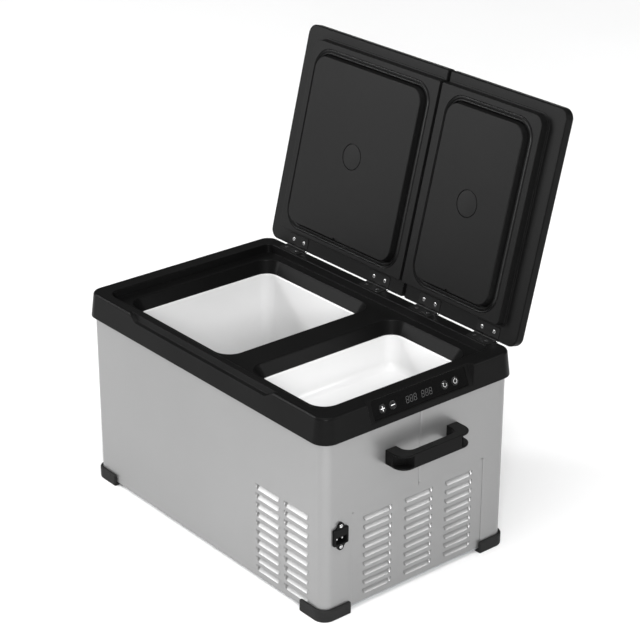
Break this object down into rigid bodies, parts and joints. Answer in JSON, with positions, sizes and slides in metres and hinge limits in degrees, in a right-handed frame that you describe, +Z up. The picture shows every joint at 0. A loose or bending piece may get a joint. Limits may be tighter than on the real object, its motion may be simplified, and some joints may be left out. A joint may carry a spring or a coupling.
{
  "type": "compressor cooler fridge",
  "caption": "Portable compressor cooler with a painted sheet body, black top frame, deep and shallow white wells, hinged lids, carry handles, louvers and a slanted control panel.",
  "frame": {"origin": "middle of the bounding box on the floor, at the level of the soles, with both lids open", "axes": "+Z up, +X towards the end with the controls, +Y towards the hinge side; the long front faces -Y"},
  "size_m": [0.6326, 0.4627, 0.6655],
  "materials": {
    "painted_sheet": "satin silver-grey paint",
    "galvanised_pan": "galvanised sheet",
    "foot_rubber": "matt",
    "black_moulding": "fine textured",
    "lid_lining": "fine textured",
    "seal_rubber": "matt",
    "white_liner": "smooth",
    "gloss_fascia": "polished",
    "bright_steel": "bright",
    "hinge_black": "black coat",
    "insulation_foam": "moulded foam",
    "fin_aluminium": "mill",
    "compressor_enamel": "enamel",
    "circuit_board": "board lacquer"
  },
  "bodies": {
    "cabinet": {"outer_shell": "painted_sheet", "access_panel": "painted_sheet", "base_pan": "galvanised_pan", "foot_front_left": "foot_rubber", "foot_front_right": "foot_rubber", "foot_back_left": "foot_rubber", "foot_back_right": "foot_rubber", "top_frame": "black_moulding", "power_inlet": "black_moulding", "right_handle": "black_moulding", "left_handle": "black_moulding", "fan_housing": "black_moulding", "inner_liner": "white_liner", "control_fascia": "gloss_fascia", "display_module": "gloss_fascia", "inlet_pin_negative": "bright_steel", "inlet_pin_positive": "bright_steel", "left_lid_hinge_1_pin": "bright_steel", "left_lid_hinge_2_pin": "bright_steel", "right_lid_hinge_1_pin": "bright_steel", "right_lid_hinge_2_pin": "bright_steel", "left_lid_hinge_1_rim_leaf": "hinge_black", "left_lid_hinge_2_rim_leaf": "hinge_black", "right_lid_hinge_1_rim_leaf": "hinge_black", "right_lid_hinge_2_rim_leaf": "hinge_black", "compressor_bracket": "hinge_black", "insulation": "insulation_foam", "condenser": "fin_aluminium", "evaporator_plate": "fin_aluminium", "compressor": "compressor_enamel", "control_board": "circuit_board", "driver_board": "circuit_board"},
    "left_lid": {"left_lid_cover": "black_moulding", "left_lid_lining": "lid_lining", "left_lid_seal": "seal_rubber", "left_lid_plug": "lid_lining", "left_lid_foam": "insulation_foam", "left_lid_hinge_1_lid_leaf": "hinge_black", "left_lid_hinge_2_lid_leaf": "hinge_black"},
    "right_lid": {"right_lid_cover": "black_moulding", "right_lid_lining": "lid_lining", "right_lid_seal": "seal_rubber", "right_lid_plug": "lid_lining", "right_lid_foam": "insulation_foam", "right_lid_hinge_1_lid_leaf": "hinge_black", "right_lid_hinge_2_lid_leaf": "hinge_black"},
    "button_plus": {"button_plus": "gloss_fascia"},
    "button_minus": {"button_minus": "gloss_fascia"},
    "button_set": {"button_set": "gloss_fascia"},
    "button_power": {"button_power": "gloss_fascia"},
    "fan_rotor": {"fan_rotor": "black_moulding"}
  },
  "joints": [
    {"name": "left_lid_hinge", "type": "hinge", "parent": "cabinet", "child": "left_lid", "pos_m": [-0.121, 0.12979, 0.3222], "axis": [1, 0, 0], "range_deg": [0, 103.85]},
    {"name": "right_lid_hinge", "type": "hinge", "parent": "cabinet", "child": "right_lid", "pos_m": [0.1645, 0.12979, 0.3222], "axis": [1, 0, 0], "range_deg": [0, 103.85]},
    {"name": "button_plus_press", "type": "slide", "parent": "cabinet", "child": "button_plus", "axis": [0.9192, 0, 0.3937], "range_m": [-0.0006, 0], "stiffness_N_per_m": 900},
    {"name": "button_minus_press", "type": "slide", "parent": "cabinet", "child": "button_minus", "axis": [0.9192, 0, 0.3937], "range_m": [-0.0006, 0], "stiffness_N_per_m": 900},
    {"name": "button_set_press", "type": "slide", "parent": "cabinet", "child": "button_set", "axis": [0.9192, 0, 0.3937], "range_m": [-0.0006, 0], "stiffness_N_per_m": 900},
    {"name": "button_power_press", "type": "slide", "parent": "cabinet", "child": "button_power", "axis": [0.9192, 0, 0.3937], "range_m": [-0.0006, 0], "stiffness_N_per_m": 900},
    {"name": "fan_spin", "type": "hinge", "parent": "cabinet", "child": "fan_rotor", "pos_m": [0.195, -0.14271, 0.0548], "axis": [0, 1, 0], "continuous": true}
  ]
}
